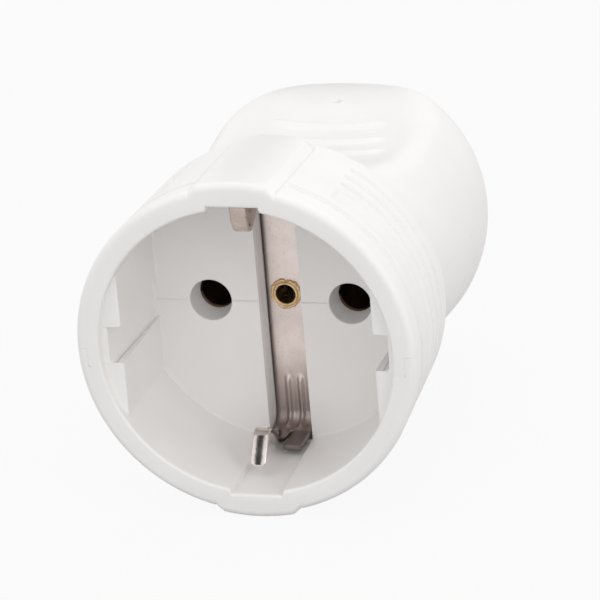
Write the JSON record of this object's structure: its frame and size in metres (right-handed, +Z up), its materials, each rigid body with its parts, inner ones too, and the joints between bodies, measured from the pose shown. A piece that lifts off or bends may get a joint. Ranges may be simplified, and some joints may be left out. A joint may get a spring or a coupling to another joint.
{
  "type": "inline socket connector",
  "caption": "Inline earthed socket for the end of a cord: round ribbed recess with side earth clips, two pin holes, a scooped grip body and a cord inlet at the rear.",
  "frame": {"origin": "bottom centre of the whole part's box: under the lower pad, midway between the open front and the cord end", "axes": "+Y from the open front toward the cord end, +Z up through the upper shell, +X right seen from the front"},
  "size_m": [0.0452, 0.061, 0.0464],
  "materials": {
    "white_shell": "fine satin moulding, low sheen",
    "nickel_strip": "nickel-plated spring brass with a speckled, slightly dulled surface",
    "rivet_brass": "bare, rolled over",
    "contact_brass": "bare, slightly browned",
    "zinc_steel": "zinc-plated",
    "clamp_plastic": "plain moulded"
  },
  "bodies": {
    "root": {"upper_shell": "white_shell", "lower_shell": "white_shell", "earth_strap": "nickel_strip", "earth_rivet": "rivet_brass", "earth_terminal": "contact_brass", "line_contact": "contact_brass", "neutral_contact": "contact_brass", "line_contact_spring": "zinc_steel", "neutral_contact_spring": "zinc_steel", "line_pressure_plate": "zinc_steel", "neutral_pressure_plate": "zinc_steel", "earth_pressure_plate": "zinc_steel", "line_terminal_screw": "zinc_steel", "neutral_terminal_screw": "zinc_steel", "earth_terminal_screw": "zinc_steel", "cord_clamp_bar": "clamp_plastic", "cord_clamp_screw_left": "zinc_steel", "cord_clamp_screw_right": "zinc_steel", "housing_screw_left": "zinc_steel", "housing_screw_right": "zinc_steel"}
  },
  "joints": []
}
